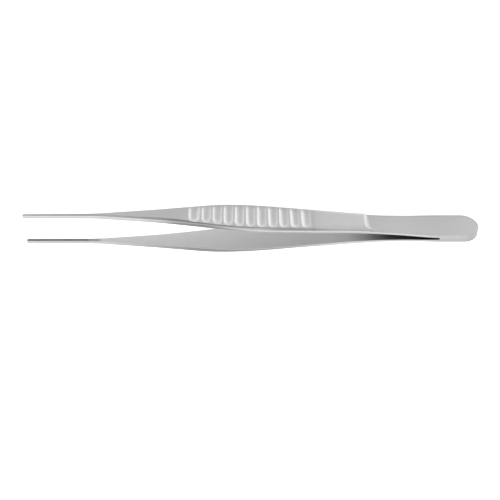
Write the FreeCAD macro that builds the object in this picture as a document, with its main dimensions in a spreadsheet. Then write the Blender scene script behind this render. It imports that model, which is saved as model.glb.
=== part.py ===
import FreeCAD, Part

# Thumb forceps with fine toothed jaws: two springy steel arms that meet face to face at a welded tail.
# The row frame has X along the forceps (tips at +X), Y across the opening and Z up: the forceps lies on the
# long side edges of its arms. Each arm is drawn in a frame of its own, with X measured from the tail end,
# Y from the plane in which the arms meet, and Z from the middle of the arm's width.

import math
import os

import Sketcher

SIZES = [
    # whole arm
    ("overall_length", 150.0),
    # plan outline, seen square on to the outer face, as half widths. The sides are straight lines that meet
    # at the tail, neck, grip, shank and jaw corners, and each corner is rounded by its own radius
    ("tail_half_width", 5.32),
    ("tail_end_radius", 5.2),
    ("tail_corner_place", 15.2),
    ("tail_corner_radius", 100.0),
    ("neck_corner_place", 33.2),
    ("neck_corner_half_width", 4.06),
    ("neck_corner_radius", 185.0),
    ("grip_corner_place", 77.7),
    ("grip_corner_half_width", 6.47),
    ("grip_corner_radius", 113.0),
    ("shank_corner_place", 104.7),
    ("shank_corner_half_width", 2.91),
    ("shank_corner_radius", 150.0),
    ("jaw_corner_place", 126.15),
    ("jaw_corner_half_width", 0.66),
    ("jaw_corner_radius", 60.0),
    ("jaw_tip_half_width", 0.56),
    ("jaw_tip_radius", 0.46),
    # side profile, measured from the plane in which the arms meet
    ("pad_thickness", 1.38),
    ("pad_corner_radius", 200.0),
    ("weld_length", 13.4),
    ("slit_half_gap", 0.15),
    ("leaf_thickness", 0.9),
    ("bow_place", 36.6),
    ("bow_half_gap", 1.436),
    ("bend_place", 93.2),
    ("bend_radius", 573.0),
    ("jaw_half_gap", 4.83),
    ("shoulder_place", 36.4),
    ("shoulder_run", 0.7),
    ("shoulder_radius", 2.3),
    ("grip_thickness", 1.55),
    ("shank_place", 97.0),
    ("shank_radius", 260.0),
    ("jaw_root_depth", 1.28),
    ("jaw_tip_depth", 1.27),
    # bevels along the outer edges of the grip and of the jaw
    ("grip_bevel_depth", 0.5),
    ("grip_bevel_width", 0.75),
    ("jaw_bevel_depth", 0.3),
    ("jaw_bevel_width", 0.25),
    # finger flutes across the grip, counted from the tail
    ("flute_count", 11),
    ("flute_pitch", 3.646),
    ("flute_depth", 0.38),
    ("flute_radius", 3.35),
    ("first_flute_place", 56.9),
    # toothed jaw faces
    ("tooth_count", 60),
    ("tooth_pitch", 0.33),
    ("tooth_depth", 0.12),
    ("nose_length", 0.5),
    ("row_half_width", 0.24),
    ("row_height", 0.14),
    ("groove_width", 0.12),
    ("groove_depth", 0.12),
    ("channel_side_clearance", 0.05),
    ("channel_floor_clearance", 0.06),
    ("twin_row_width", 0.2),
]


def make_sheet(doc):
    """The driving dimensions, each in a cell with its own alias."""
    sheet = doc.addObject("Spreadsheet::Sheet", "Sizes")
    for row, (alias, value) in enumerate(SIZES, start=1):
        sheet.set("A%d" % row, alias)
        sheet.set("B%d" % row, str(value))
        sheet.setAlias("B%d" % row, alias)
    doc.recompute()
    return sheet


# Expressions that several outlines share, in terms of the sheet's cells
LEAF_SLOPE = "(Sizes.bow_half_gap - Sizes.slit_half_gap) / (Sizes.bow_place - Sizes.weld_length)"
GRIP_SLOPE = "(Sizes.jaw_half_gap - Sizes.bow_half_gap) / (Sizes.bend_place - Sizes.bow_place)"
JAW_SLOPE = ("(Sizes.jaw_tip_depth - Sizes.jaw_root_depth)"
             " / (Sizes.overall_length - Sizes.jaw_corner_place)")
SHOULDER_TOP = "(Sizes.shoulder_place + Sizes.shoulder_run)"
TEETH_END = "(Sizes.overall_length - Sizes.nose_length)"
TEETH_START = "(Sizes.overall_length - Sizes.nose_length - Sizes.tooth_count * Sizes.tooth_pitch)"
# How far a cutting outline runs past the steel, and how far above the jaw's face its cuts start
MARGIN = "2"
ABOVE_FACE = "(0 - 0.5)"
PAST_TAIL = "(0 - %s)" % MARGIN
PAST_TIP = "(Sizes.overall_length + %s)" % MARGIN


def inner_leaf(place):
    """Distance of the spring leaf's inner face from the meeting plane, at a place along the arm."""
    return "(Sizes.slit_half_gap + (%s - Sizes.weld_length) * %s)" % (place, LEAF_SLOPE)


def leaf_outer(place):
    """Distance of the spring leaf's outer face from the meeting plane, at a place along the arm."""
    return "(%s + Sizes.leaf_thickness)" % inner_leaf(place)


def grip_outer(place):
    """Distance of the grip's outer face from the meeting plane."""
    return "(Sizes.bow_half_gap + Sizes.grip_thickness + (%s - Sizes.bow_place) * %s)" % (place, GRIP_SLOPE)


def jaw_outer(place):
    """Distance of the jaw's outer face from the meeting plane."""
    return ("(Sizes.jaw_half_gap + Sizes.jaw_root_depth + (%s - Sizes.jaw_corner_place) * %s)"
            % (place, JAW_SLOPE))


def origin_plane(body, role):
    """One of the body's own origin planes, found by its role."""
    for feature in body.Origin.OriginFeatures:
        if feature.Role == role:
            return feature
    raise RuntimeError("no origin plane " + role)


def new_sketch(body, name, role="XY_Plane"):
    """A sketch on one of the body's origin planes."""
    sketch = body.newObject("Sketcher::SketchObject", name)
    sketch.AttachmentSupport = [(origin_plane(body, role), "")]
    sketch.MapMode = "FlatFace"
    return sketch


def evaluate(sketch, text):
    """The number that an expression gives."""
    return float(sketch.evalExpression(text))


class Outline:
    """Collects the edges of a sketch and its constraints. The constraints go in together, because the edges
    are drawn where they belong and no half tied outline should move."""

    def __init__(self, sketch):
        self.sketch = sketch
        self.constraints = []
        self.expressions = []

    def tie(self, *parts):
        """A constraint without a size."""
        self.constraints.append(Sketcher.Constraint(*parts))

    def size(self, text, *parts):
        """A constraint whose size is an expression."""
        self.expressions.append((len(self.constraints), text))
        self.constraints.append(Sketcher.Constraint(*parts, evaluate(self.sketch, text)))

    def hold(self, geometry, position, across, up):
        """Ties a point to expressions for its two coordinates."""
        self.size(across, "DistanceX", -1, 1, geometry, position)
        self.size(up, "DistanceY", -1, 1, geometry, position)

    def line(self, first, second, construction=False):
        """A straight edge between two vectors."""
        return self.sketch.addGeometry(Part.LineSegment(first, second), construction)

    def arc(self, centre, radius, first, last):
        """A circular edge about a centre, the short way round between two vectors. Edges of a sketch run
        anticlockwise, so the answer also says which end of the arc lies at the first vector."""
        angles = [math.atan2(point.y - centre.y, point.x - centre.x) for point in (first, last)]
        turn = (angles[1] - angles[0]) % (2 * math.pi)
        first_end = 1 if turn < math.pi else 2
        start, finish = angles if first_end == 1 else reversed(angles)
        circle = Part.Circle(centre, FreeCAD.Vector(0, 0, 1), radius)
        if finish < start:
            finish += 2 * math.pi
        return self.sketch.addGeometry(Part.ArcOfCircle(circle, start, finish), False), first_end

    def smooth(self, first_edge, first_end, second_edge, second_start):
        """Makes two edges meet without a corner."""
        self.tie("Tangent", first_edge, first_end, second_edge, second_start)

    def finish(self):
        """Adds the constraints and binds their sizes to the sheet."""
        already = self.sketch.ConstraintCount
        self.sketch.addConstraint(self.constraints)
        for index, text in self.expressions:
            self.sketch.setExpression("Constraints[%d]" % (already + index), text)


def corner_cut(before, corner, after, radius):
    """Where an arc of the given radius leaves the two straight sides of a corner, and its centre."""
    back = (before - corner).normalize()
    ahead = (after - corner).normalize()
    half_angle = back.getAngle(ahead) / 2
    reach = radius / math.tan(half_angle)
    centre = corner + (back + ahead).normalize() * (radius / math.sin(half_angle))
    return corner + back * reach, centre, corner + ahead * reach


def draw_polygon(sketch, corners, closed=True):
    """An outline through the corners, each (x, y, radius or None) in expressions. A corner with a radius is
    rounded by an arc that is tangent to both of its sides. An open outline has no side from its last corner
    back to its first, and those two aren't rounded."""
    outline = Outline(sketch)
    points = [FreeCAD.Vector(evaluate(sketch, x), evaluate(sketch, y), 0) for x, y, radius in corners]
    count = len(points)
    starts = list(points)
    ends = list(points)
    arcs = {}
    for index, (x, y, radius) in enumerate(corners):
        if radius is not None:
            size = evaluate(sketch, radius)
            ends[index], centre, starts[index] = corner_cut(
                points[index - 1], points[index], points[(index + 1) % count], size)
            arcs[index] = outline.arc(centre, size, ends[index], starts[index])
    sides = count if closed else count - 1
    lines = [outline.line(starts[index], ends[(index + 1) % count]) for index in range(sides)]
    if not closed:
        outline.hold(lines[-1], 2, corners[-1][0], corners[-1][1])
    for index, (x, y, radius) in enumerate(corners[:count if closed else count - 1]):
        if index == 0 and not closed:
            outline.hold(lines[0], 1, x, y)
            continue
        if radius is None:
            outline.tie("Coincident", lines[index - 1], 2, lines[index], 1)
            outline.hold(lines[index], 1, x, y)
            continue
        arc, first_end = arcs[index]
        outline.smooth(lines[index - 1], 2, arc, first_end)
        outline.smooth(arc, 3 - first_end, lines[index], 1)
        corner = sketch.addGeometry(Part.Point(points[index]), True)
        outline.tie("PointOnObject", corner, 1, lines[index - 1])
        outline.tie("PointOnObject", corner, 1, lines[index])
        outline.hold(corner, 1, x, y)
        outline.size(radius, "Radius", arc)
    outline.finish()


def signed(side, text):
    """An expression for a distance from the meeting plane, on the arm's own side of it."""
    return "(%d) * (%s)" % (side, text)


def negative(text):
    """The same distance on the other side of the middle."""
    return "(0 - (%s))" % text


def rectangle(left, right, low, high):
    """The corners of a rectangle, in expressions."""
    return [(left, low, None), (right, low, None), (right, high, None), (left, high, None)]


def pad_both_ways(body, sketch, name, width):
    """Material to both sides of the arm's middle plane, as wide as an expression says."""
    pad = body.newObject("PartDesign::Pad", name)
    pad.Profile = sketch
    pad.SideType = "Symmetric"
    pad.setExpression("Length", width)
    return pad


def cut_both_ways(body, sketch, name, width=None):
    """A cut to both sides of a sketch: as wide as an expression says, or right through."""
    pocket = body.newObject("PartDesign::Pocket", name)
    pocket.Profile = sketch
    pocket.SideType = "Symmetric"
    if width is None:
        pocket.Type = "ThroughAll"
    else:
        pocket.setExpression("Length", width)
    return pocket


def repeat_along(body, feature, sketch, name, count, pitch):
    """Repeats a feature along the first construction line of its sketch."""
    pattern = body.newObject("PartDesign::LinearPattern", name)
    pattern.Originals = [feature]
    pattern.Direction = (sketch, ["Axis0"])
    pattern.setExpression("Occurrences", count)
    pattern.setExpression("Length", "(%s - 1) * %s" % (count, pitch))
    body.Tip = pattern
    return pattern


def guide_line(sketch, first, last):
    """A construction line between two points given in expressions, as the direction of a pattern."""
    outline = Outline(sketch)
    ends = [FreeCAD.Vector(evaluate(sketch, x), evaluate(sketch, y), 0) for x, y in (first, last)]
    line = outline.line(ends[0], ends[1], True)
    outline.hold(line, 1, *first)
    outline.hold(line, 2, *last)
    outline.finish()


def plan_corners():
    """The corners of the plan outline, along one side to the tip and back along the other."""
    side = [
        ("0", "Sizes.tail_half_width", "Sizes.tail_end_radius"),
        ("Sizes.tail_corner_place", "Sizes.tail_half_width", "Sizes.tail_corner_radius"),
        ("Sizes.neck_corner_place", "Sizes.neck_corner_half_width", "Sizes.neck_corner_radius"),
        ("Sizes.grip_corner_place", "Sizes.grip_corner_half_width", "Sizes.grip_corner_radius"),
        ("Sizes.shank_corner_place", "Sizes.shank_corner_half_width", "Sizes.shank_corner_radius"),
        ("Sizes.jaw_corner_place", "Sizes.jaw_corner_half_width", "Sizes.jaw_corner_radius"),
        ("Sizes.overall_length", "Sizes.jaw_tip_half_width", "Sizes.jaw_tip_radius"),
    ]
    return side + [(x, negative(y), radius) for x, y, radius in reversed(side)]


def trim_to_plan(body, name):
    """Cuts away all that lies outside the plan outline."""
    sketch = new_sketch(body, name + "Outline", "XZ_Plane")
    reach = "(Sizes.grip_corner_half_width + 2 * %s)" % MARGIN
    frame_ends = ("(0 - 2 * %s)" % MARGIN, "(Sizes.overall_length + 2 * %s)" % MARGIN)
    draw_polygon(sketch, rectangle(frame_ends[0], frame_ends[1], negative(reach), reach))
    draw_polygon(sketch, plan_corners())
    return cut_both_ways(body, sketch, name)


def front_blank(body, side):
    """Grip, shank and jaw from the shoulder to the tip, as wide as the widest place."""
    sketch = new_sketch(body, "FrontProfile")
    draw_polygon(sketch, [
        ("Sizes.shoulder_place", signed(side, inner_leaf("Sizes.shoulder_place")), None),
        ("Sizes.bow_place", signed(side, "Sizes.bow_half_gap"), None),
        ("Sizes.bend_place", signed(side, "Sizes.jaw_half_gap"), "Sizes.bend_radius"),
        (PAST_TIP, signed(side, "Sizes.jaw_half_gap"), None),
        (PAST_TIP, signed(side, jaw_outer(PAST_TIP)), None),
        ("Sizes.shank_place", signed(side, grip_outer("Sizes.shank_place")), "Sizes.shank_radius"),
        (SHOULDER_TOP, signed(side, grip_outer(SHOULDER_TOP)), "Sizes.shoulder_radius"),
        ("Sizes.shoulder_place", signed(side, leaf_outer("Sizes.shoulder_place")), None),
    ])
    return pad_both_ways(body, sketch, "Front", "2 * Sizes.grip_corner_half_width")


def rear_blank(body, side):
    """Welded pad and spring leaf, from past the tail to the shoulder."""
    sketch = new_sketch(body, "RearProfile")
    pad_step = "(Sizes.pad_thickness - Sizes.slit_half_gap - Sizes.leaf_thickness)"
    leaf_start = "(Sizes.weld_length + %s / (%s))" % (pad_step, LEAF_SLOPE)
    draw_polygon(sketch, [
        (PAST_TAIL, signed(side, "0"), None),
        ("Sizes.weld_length", signed(side, "0"), None),
        ("Sizes.weld_length", signed(side, "Sizes.slit_half_gap"), None),
        ("Sizes.shoulder_place", signed(side, inner_leaf("Sizes.shoulder_place")), None),
        ("Sizes.shoulder_place", signed(side, leaf_outer("Sizes.shoulder_place")), None),
        (leaf_start, signed(side, "Sizes.pad_thickness"), "Sizes.pad_corner_radius"),
        (PAST_TAIL, signed(side, "Sizes.pad_thickness"), None),
    ])
    return pad_both_ways(body, sketch, "Rear", "2 * Sizes.grip_corner_half_width")


def bevel(body, side, name, level, slope, corners, depth, width):
    """Planes off both outer edges along part of the plan outline. The cut keeps to a level, given where the
    arm starts, that rises by slope along the arm. So it runs out by itself where the steel drops away."""
    path = new_sketch(body, name + "Path", "XZ_Plane")
    lengthwise = FreeCAD.Vector(0, 1, 0)
    path.AttachmentOffset = FreeCAD.Placement(FreeCAD.Vector(), FreeCAD.Rotation(lengthwise, 1))
    path.setExpression(".AttachmentOffset.Base.z", signed(-side, level))
    path.setExpression(".AttachmentOffset.Rotation.Angle", "(%d) * atan(%s)" % (side, slope))
    tilted = [("(%s) / cos(atan(%s))" % (x, slope), y, radius) for x, y, radius in corners]
    draw_polygon(path, tilted, closed=False)
    start, edge = corners[0][:2]
    top = "(%s + (%s) * (%s))" % (level, start, slope)
    wedge = new_sketch(body, name + "Wedge", "YZ_Plane")
    wedge.setExpression(".AttachmentOffset.Base.z", start)
    draw_polygon(wedge, [
        (signed(side, "%s + %s" % (top, depth)), "%s - 2 * %s" % (edge, width), None),
        (signed(side, "%s - 2 * %s" % (top, depth)), "%s + %s" % (edge, width), None),
        (signed(side, "%s + %s" % (top, depth)), "%s + %s" % (edge, width), None),
    ])
    sweep = body.newObject("PartDesign::SubtractivePipe", name)
    sweep.Profile = wedge
    sweep.Spine = path
    mirrored = body.newObject("PartDesign::Mirrored", name + "OtherEdge")
    mirrored.Originals = [sweep]
    mirrored.MirrorPlane = (origin_plane(body, "XY_Plane"), [""])
    body.Tip = mirrored
    return mirrored


def bevel_grip(body, side):
    """The broad bevels of the grip, from the shoulder until they run out on the shank."""
    level = grip_outer("0")
    corners = [
        ("Sizes.tail_corner_place", "Sizes.tail_half_width", None),
        ("Sizes.neck_corner_place", "Sizes.neck_corner_half_width", "Sizes.neck_corner_radius"),
        ("Sizes.grip_corner_place", "Sizes.grip_corner_half_width", "Sizes.grip_corner_radius"),
        ("Sizes.shank_corner_place", "Sizes.shank_corner_half_width", "Sizes.shank_corner_radius"),
        ("Sizes.jaw_corner_place", "Sizes.jaw_corner_half_width", None),
    ]
    return bevel(body, side, "GripBevel", level, GRIP_SLOPE, corners,
                 "Sizes.grip_bevel_depth", "Sizes.grip_bevel_width")


def bevel_jaw(body, side):
    """The small bevels of the jaw's back, which start on the shank and run to the tip."""
    corners = [
        ("Sizes.grip_corner_place", "Sizes.grip_corner_half_width", None),
        ("Sizes.shank_corner_place", "Sizes.shank_corner_half_width", "Sizes.shank_corner_radius"),
        ("Sizes.jaw_corner_place", "Sizes.jaw_corner_half_width", "Sizes.jaw_corner_radius"),
        (PAST_TIP, "Sizes.jaw_tip_half_width", None),
    ]
    return bevel(body, side, "JawBevel", jaw_outer("0"), JAW_SLOPE, corners,
                 "Sizes.jaw_bevel_depth", "Sizes.jaw_bevel_width")


def cut_flutes(body, side):
    """Round flutes across the whole grip, cut into both bevels, with narrow flat lands between them."""
    sketch = new_sketch(body, "Flute")
    place = "Sizes.first_flute_place"
    height = "%s + Sizes.flute_radius - Sizes.flute_depth" % grip_outer(place)
    outline = Outline(sketch)
    centre = FreeCAD.Vector(evaluate(sketch, place), evaluate(sketch, signed(side, height)), 0)
    radius = evaluate(sketch, "Sizes.flute_radius")
    circle = sketch.addGeometry(Part.Circle(centre, FreeCAD.Vector(0, 0, 1), radius), False)
    outline.hold(circle, 3, place, signed(side, height))
    outline.size("Sizes.flute_radius", "Radius", circle)
    outline.finish()
    along = "%s + Sizes.flute_pitch" % place
    guide_line(sketch, (place, signed(side, grip_outer(place))), (along, signed(side, grip_outer(along))))
    flute = cut_both_ways(body, sketch, "FirstFlute")
    return repeat_along(body, flute, sketch, "Flutes", "Sizes.flute_count", "Sizes.flute_pitch")


def face_strip(body, side, name, start, finish, low, high):
    """A sketched strip on the jaw face, between two levels measured from the face into the steel."""
    sketch = new_sketch(body, name + "Profile")
    levels = [signed(side, "Sizes.jaw_half_gap + (%s)" % level) for level in (low, high)]
    draw_polygon(sketch, rectangle(start, finish, levels[0], levels[1]))
    return sketch


def cut_teeth(body, side, crest, width):
    """Close cross notches from the nose back, whose ridges are the teeth."""
    sketch = new_sketch(body, "Notch")
    back = "(%s + Sizes.tooth_pitch)" % TEETH_START
    middle = "(%s + Sizes.tooth_pitch / 2)" % TEETH_START
    edge = signed(side, "Sizes.jaw_half_gap + (%s)" % crest)
    root = signed(side, "Sizes.jaw_half_gap + (%s) + Sizes.tooth_depth" % crest)
    draw_polygon(sketch, [(TEETH_START, edge, None), (back, edge, None), (middle, root, None)])
    guide_line(sketch, (TEETH_START, edge), (TEETH_END, edge))
    notch = cut_both_ways(body, sketch, "FirstNotch", width)
    return repeat_along(body, notch, sketch, "Notches", "Sizes.tooth_count", "Sizes.tooth_pitch")


def single_row_jaw(body, side):
    """One central toothed row that stands proud between two grooves."""
    grooves = face_strip(body, side, "Grooves", TEETH_START, TEETH_END, ABOVE_FACE, "Sizes.groove_depth")
    cut_both_ways(body, grooves, "Grooves", "2 * (Sizes.row_half_width + Sizes.groove_width)")
    crest = "0 - Sizes.row_height"
    row = face_strip(body, side, "Row", TEETH_START, TEETH_END, crest, "Sizes.groove_depth")
    pad_both_ways(body, row, "Row", "2 * Sizes.row_half_width")
    cut_teeth(body, side, crest, "2 * Sizes.row_half_width")


def double_row_jaw(body, side):
    """Two toothed rows with a channel between them that takes the other jaw's single row."""
    half_width = "(Sizes.row_half_width + Sizes.channel_side_clearance)"
    depth = "Sizes.row_height + Sizes.channel_floor_clearance"
    channel = face_strip(body, side, "Channel", TEETH_START, TEETH_END, ABOVE_FACE, depth)
    cut_both_ways(body, channel, "Channel", "2 * %s" % half_width)
    cut_teeth(body, side, "0", "2 * (%s + Sizes.twin_row_width)" % half_width)


def make_arm(doc, label, side, cut_jaw):
    """One forged arm. Its side is -1 or 1, for the half of Y that it lies in."""
    body = doc.addObject("PartDesign::Body", label)
    body.Label = label
    front_blank(body, side)
    trim_to_plan(body, "FrontTrim")
    bevel_grip(body, side)
    bevel_jaw(body, side)
    cut_flutes(body, side)
    cut_jaw(body, side)
    rear_blank(body, side)
    trim_to_plan(body, "RearTrim")
    doc.recompute()
    return body


def check(doc, bodies):
    """Stops if any object failed or any arm isn't one valid solid."""
    for item in doc.Objects:
        if "Invalid" in item.State or "Error" in item.State:
            raise RuntimeError("%s failed" % item.Name)
    for body in bodies:
        if body.Shape.isNull() or not body.Shape.isValid() or len(body.Shape.Solids) != 1:
            raise RuntimeError("%s isn't one valid solid" % body.Label)


def main():
    """Builds both arms, lays them on their edges and writes them out."""
    doc = FreeCAD.newDocument("ThumbForceps")
    make_sheet(doc)
    bodies = [
        make_arm(doc, "double_row_arm", -1, double_row_jaw),
        make_arm(doc, "single_row_arm", 1, single_row_jaw),
    ]
    check(doc, bodies)
    rest_height = -min(body.Shape.BoundBox.ZMin for body in bodies)
    for body in bodies:
        body.Placement = FreeCAD.Placement(FreeCAD.Vector(0, 0, rest_height), FreeCAD.Rotation())
        body.setExpression(".Placement.Base.x", "0 - Sizes.overall_length / 2")
    doc.recompute()
    check(doc, bodies)
    os.makedirs("parts", exist_ok=True)
    for body in bodies:
        body.Shape.exportStep("parts/%s.step" % body.Label)
        box = body.Shape.BoundBox
        print(body.Label, round(body.Shape.Volume, 1), [round(value, 2) for value in (
            box.XMin, box.XMax, box.YMin, box.YMax, box.ZMin, box.ZMax)])


main()
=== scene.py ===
"""Satin steel thumb forceps with fluted grips and fine toothed jaws, lying on the side edges of its arms.

The forceps has X along it with the tips at +X, Y across its opening and Z up. Sizes are in metres, and
places along an arm are measured from the tail end.
"""

import math

import bmesh
import bpy
import numpy as np
from bpy.props import FloatProperty, FloatVectorProperty, IntProperty, PointerProperty
from mathutils import Matrix, Vector


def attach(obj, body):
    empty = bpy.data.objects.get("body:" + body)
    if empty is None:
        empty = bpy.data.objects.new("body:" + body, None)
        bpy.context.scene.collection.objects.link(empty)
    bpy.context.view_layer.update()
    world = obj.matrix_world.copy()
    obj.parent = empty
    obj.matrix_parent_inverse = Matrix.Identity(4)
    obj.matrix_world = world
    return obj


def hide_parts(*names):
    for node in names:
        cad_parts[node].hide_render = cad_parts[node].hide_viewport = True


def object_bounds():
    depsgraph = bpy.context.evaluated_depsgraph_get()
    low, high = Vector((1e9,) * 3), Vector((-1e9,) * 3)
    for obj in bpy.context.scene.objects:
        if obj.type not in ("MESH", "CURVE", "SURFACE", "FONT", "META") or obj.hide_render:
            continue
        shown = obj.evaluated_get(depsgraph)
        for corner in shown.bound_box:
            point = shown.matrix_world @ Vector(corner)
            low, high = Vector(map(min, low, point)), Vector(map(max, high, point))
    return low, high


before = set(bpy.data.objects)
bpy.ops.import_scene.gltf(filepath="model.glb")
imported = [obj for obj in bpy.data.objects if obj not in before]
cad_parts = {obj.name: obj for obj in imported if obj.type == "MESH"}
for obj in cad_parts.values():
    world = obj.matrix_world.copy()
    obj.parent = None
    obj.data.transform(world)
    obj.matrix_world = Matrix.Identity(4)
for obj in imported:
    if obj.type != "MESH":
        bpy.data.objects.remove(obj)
CAD_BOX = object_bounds()
LYING_HEIGHT = CAD_BOX[1][2] / 2

bl_info = {
    "name": "Thumb forceps",
    "version": (1, 0, 0),
    "blender": (4, 5, 0),
    "location": "View3D > Sidebar > Forceps",
    "description": "Builds a satin steel thumb forceps with fluted grips and toothed jaws",
    "category": "Add Mesh",
}


def length(name, description, default):
    """A size in metres."""
    return FloatProperty(name=name, description=description, default=default, unit="LENGTH", precision=5)


def corner(name, description, default):
    """A rounded corner of an outline: its place along the arm, its level and the radius that rounds it."""
    return FloatVectorProperty(name=name, description=description, default=default, size=3, unit="LENGTH",
                               precision=5)


def tint(name, description, default):
    """A colour."""
    return FloatVectorProperty(name=name, description=description, default=default, subtype="COLOR",
                               min=0, max=1)


def fraction(name, description, default):
    """A share of one."""
    return FloatProperty(name=name, description=description, default=default, subtype="FACTOR",
                         min=0, max=1)


def amount(name, description, default):
    """A plain number."""
    return FloatProperty(name=name, description=description, default=default, min=0)


class ForcepsPlan(bpy.types.PropertyGroup):
    """The arm's outline seen square on to its outer face."""

    overall_length: length("Overall length", "From the tail end to the tips", 0.150)
    tail_half_width: length("Tail half width", "Half the width of the tail pad", 0.00532)
    tail_end_radius: length("Tail end radius", "Rounding of the tail end", 0.0052)
    tail_corner: corner("Tail corner", "Where the pad starts to narrow", (0.0152, 0.00532, 0.100))
    neck_corner: corner("Neck corner", "The narrow place behind the grip", (0.0332, 0.00406, 0.185))
    grip_corner: corner("Grip corner", "The widest place of the grip", (0.0777, 0.00647, 0.113))
    shank_corner: corner("Shank corner", "Where the shank's taper eases", (0.1047, 0.00291, 0.150))
    jaw_corner: corner("Jaw corner", "Where the taper becomes the jaw", (0.12615, 0.00066, 0.060))
    tip_half_width: length("Tip half width", "Half the width of the jaw at its tip", 0.00056)
    tip_radius: length("Tip radius", "Rounding of the jaw's nose", 0.00046)


class ForcepsProfile(bpy.types.PropertyGroup):
    """The arm's profile seen from its edge, measured from the plane in which the arms meet."""

    pad_thickness: length("Pad thickness", "Thickness of one half of the welded tail", 0.00138)
    weld_length: length("Weld length", "How far the arms are welded together", 0.0134)
    slit_half_gap: length("Slit half gap", "Half the slit where it starts", 0.00015)
    leaf_thickness: length("Leaf thickness", "Thickness of the spring leaf", 0.0009)
    bow_place: length("Bow place", "Where leaf and grip lines meet", 0.0366)
    bow_half_gap: length("Bow half gap", "Half the opening at that place", 0.001436)
    bend: corner("Bend", "Where the arm turns parallel to the other", (0.0932, 0.00483, 0.573))
    shoulder_place: length("Shoulder place", "Foot of the step up to the grip", 0.0364)
    shoulder_run: length("Shoulder run", "Length of the step up to the grip", 0.0007)
    shoulder_radius: length("Shoulder radius", "Rounding of the step's top", 0.0023)
    shoulder_sweep: length("Shoulder sweep", "How far its upper edge runs to the tail", 0.0026)
    sweep_width: length("Sweep width", "How far from the upper edge the step starts to bend", 0.0030)
    grip_thickness: length("Grip thickness", "Thickness of the grip", 0.00155)
    shank_place: length("Shank place", "Where the outer face leaves the grip's line", 0.097)
    shank_radius: length("Shank radius", "Rounding of the outer face there", 0.260)
    jaw_root_depth: length("Jaw root depth", "Depth of the jaw's back line at its root", 0.00128)
    jaw_tip_depth: length("Jaw tip depth", "Depth of the jaw at its tip", 0.00127)
    edge_radius: length("Edge radius", "Rounding that polishing leaves on every edge", 0.00012)
    bevel_softness: length("Bevel softness", "How far a bevel blends into the face", 0.00022)
    grip_bevel_depth: length("Grip bevel depth", "Drop of the grip's bevels at its widest", 0.00105)
    grip_bevel_width: length("Grip bevel width", "Width of the grip's bevels there", 0.00075)
    waist_bevel_depth: length("Waist bevel depth", "Drop of the bevels beside the front flutes", 0.00048)
    waist_bevel_width: length("Waist bevel width", "Width of the bevels beside the front flutes", 0.00034)
    low_bevel_share: fraction("Lower bevel share", "Size of the lower bevels", 0.35)
    rear_bevel_depth: length("Rear bevel depth", "Drop of the grip's bevels near the shoulder", 0.0006)
    rear_bevel_width: length("Rear bevel width", "Width of the grip's bevels near the shoulder", 0.0011)
    rear_softness: length("Rear bevel softness", "How far a bevel blends into the face there", 0.0005)
    jaw_bevel_depth: length("Jaw bevel depth", "Drop of the jaw's bevels", 0.0003)
    jaw_bevel_width: length("Jaw bevel width", "Width of the jaw's bevels", 0.00025)


class ForcepsFlutes(bpy.types.PropertyGroup):
    """The finger flutes across each grip."""

    count: IntProperty(name="Flutes", description="Flutes on each grip", default=11, min=1)
    pitch: length("Flute pitch", "Distance from flute to flute along the grip", 0.003646)
    depth: length("Flute depth", "Depth of a flute in the middle of the grip", 0.00038)
    radius: length("Flute radius", "Radius of the round cutter", 0.00335)
    first_place: length("First flute", "Middle of the flute nearest to the tail", 0.0569)
    run_out: length("Run-out", "How far from the upper edge a flute starts to run out", 0.0037)
    lift: length("Run-out lift", "How far a flute has risen at the very edge", 0.00048)
    low_run_out: length("Low run-out", "How far from the lower edge a flute starts to run out", 0.0018)
    softness: length("Land softness", "Rounding of the lands between flutes", 0.00005)
    last_shift: length("Last shift", "How much further the last flute lies", 0.0004)
    last_depth: length("Last depth", "How much deeper the last flute is", 0.0002)
    last_radius: length("Last radius", "How much larger the last flute's cutter is", 0.0003)


class ForcepsTeeth(bpy.types.PropertyGroup):
    """The toothed rows of the jaws."""

    count: IntProperty(name="Teeth", description="Teeth in each row", default=60, min=1)
    pitch: length("Tooth pitch", "Distance from tooth to tooth", 0.00033)
    depth: length("Tooth depth", "Depth of the notch between teeth", 0.00012)
    nose_length: length("Nose length", "Smooth steel in front of the rows", 0.0005)
    row_half_width: length("Row half width", "Half the width of the central row", 0.00024)
    row_height: length("Row height", "How far the central row stands proud", 0.00014)
    groove_width: length("Groove width", "Width of the groove beside the central row", 0.00012)
    groove_depth: length("Groove depth", "Depth of the groove beside the central row", 0.00012)
    channel_half_width: length("Channel half width", "Half the channel between the twin rows", 0.00029)
    channel_depth: length("Channel depth", "Depth of the channel between the twin rows", 0.0002)
    twin_row_width: length("Twin row width", "Width of each of the twin rows", 0.0002)


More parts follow.
